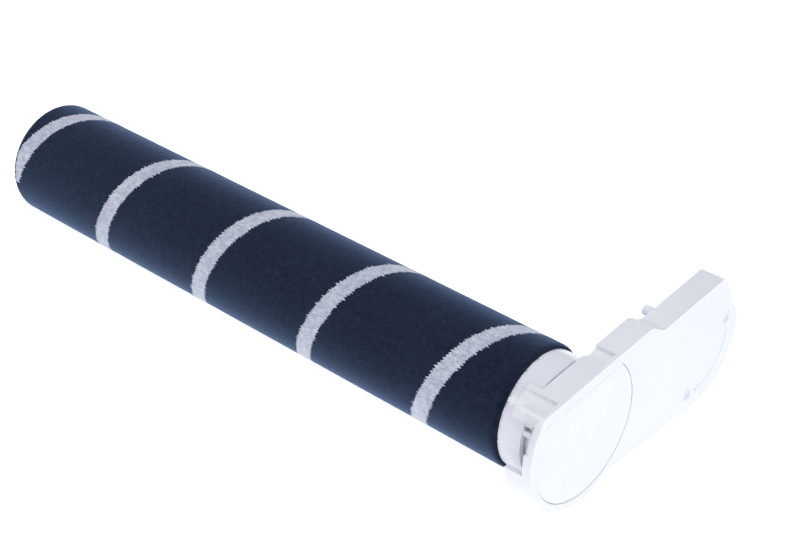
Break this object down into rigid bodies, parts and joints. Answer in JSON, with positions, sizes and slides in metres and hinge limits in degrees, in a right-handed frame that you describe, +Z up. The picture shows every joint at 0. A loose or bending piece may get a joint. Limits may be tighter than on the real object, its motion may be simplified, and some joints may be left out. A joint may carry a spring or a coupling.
{
  "type": "vacuum brush roller with side end cover",
  "caption": "Plush brush roller with a winding pale stripe, spinning on a bearing in a white side end cover with a collar and lock marks.",
  "frame": {"origin": "centre of the drive socket's mouth, on the roller axis, at the far end of the pile", "axes": "+X along the roller axis towards the end cover's outer face, +Y towards the cover's rear, +Z up, square to the cover's flat top"},
  "size_m": [0.2373, 0.1031, 0.0479],
  "materials": {
    "white_cover": "gloss",
    "white_panel": "gloss",
    "white_collar": "gloss",
    "zinc_screw": "satin",
    "pin_steel": "polished",
    "spacer_steel": "satin",
    "spring_steel": "satin",
    "grey_felt": "matte",
    "bearing_steel": "polished",
    "ball_steel": "polished",
    "cage_steel": "satin",
    "shield_steel": "satin",
    "dark_plastic": "matte",
    "tube_alu": "satin",
    "backing_cloth": "matte",
    "navy_pile": "matte",
    "pale_pile": "matte",
    "grey_plastic": "matte"
  },
  "bodies": {
    "cover": {"end_cover": "white_cover", "inset_panel": "white_panel", "bearing_collar": "white_collar", "collar_screws": "zinc_screw", "axle_pin": "pin_steel", "axle_spacer": "spacer_steel", "axle_clip": "spring_steel", "felt_seal": "grey_felt", "bearing_inner": "bearing_steel"},
    "roller": {"bearing_outer": "bearing_steel", "bearing_balls": "ball_steel", "bearing_cage": "cage_steel", "bearing_shields": "shield_steel", "pocket_ring": "spring_steel", "near_plug": "dark_plastic", "core_tube": "tube_alu", "woven_backing": "backing_cloth", "dark_pile": "navy_pile", "pale_stripe": "pale_pile", "drive_plug": "dark_plastic", "drive_insert": "grey_plastic"}
  },
  "joints": [
    {"name": "roller_spin", "type": "hinge", "parent": "cover", "child": "roller", "pos_m": [0.11, 0, 0], "axis": [1, 0, 0], "continuous": true}
  ]
}
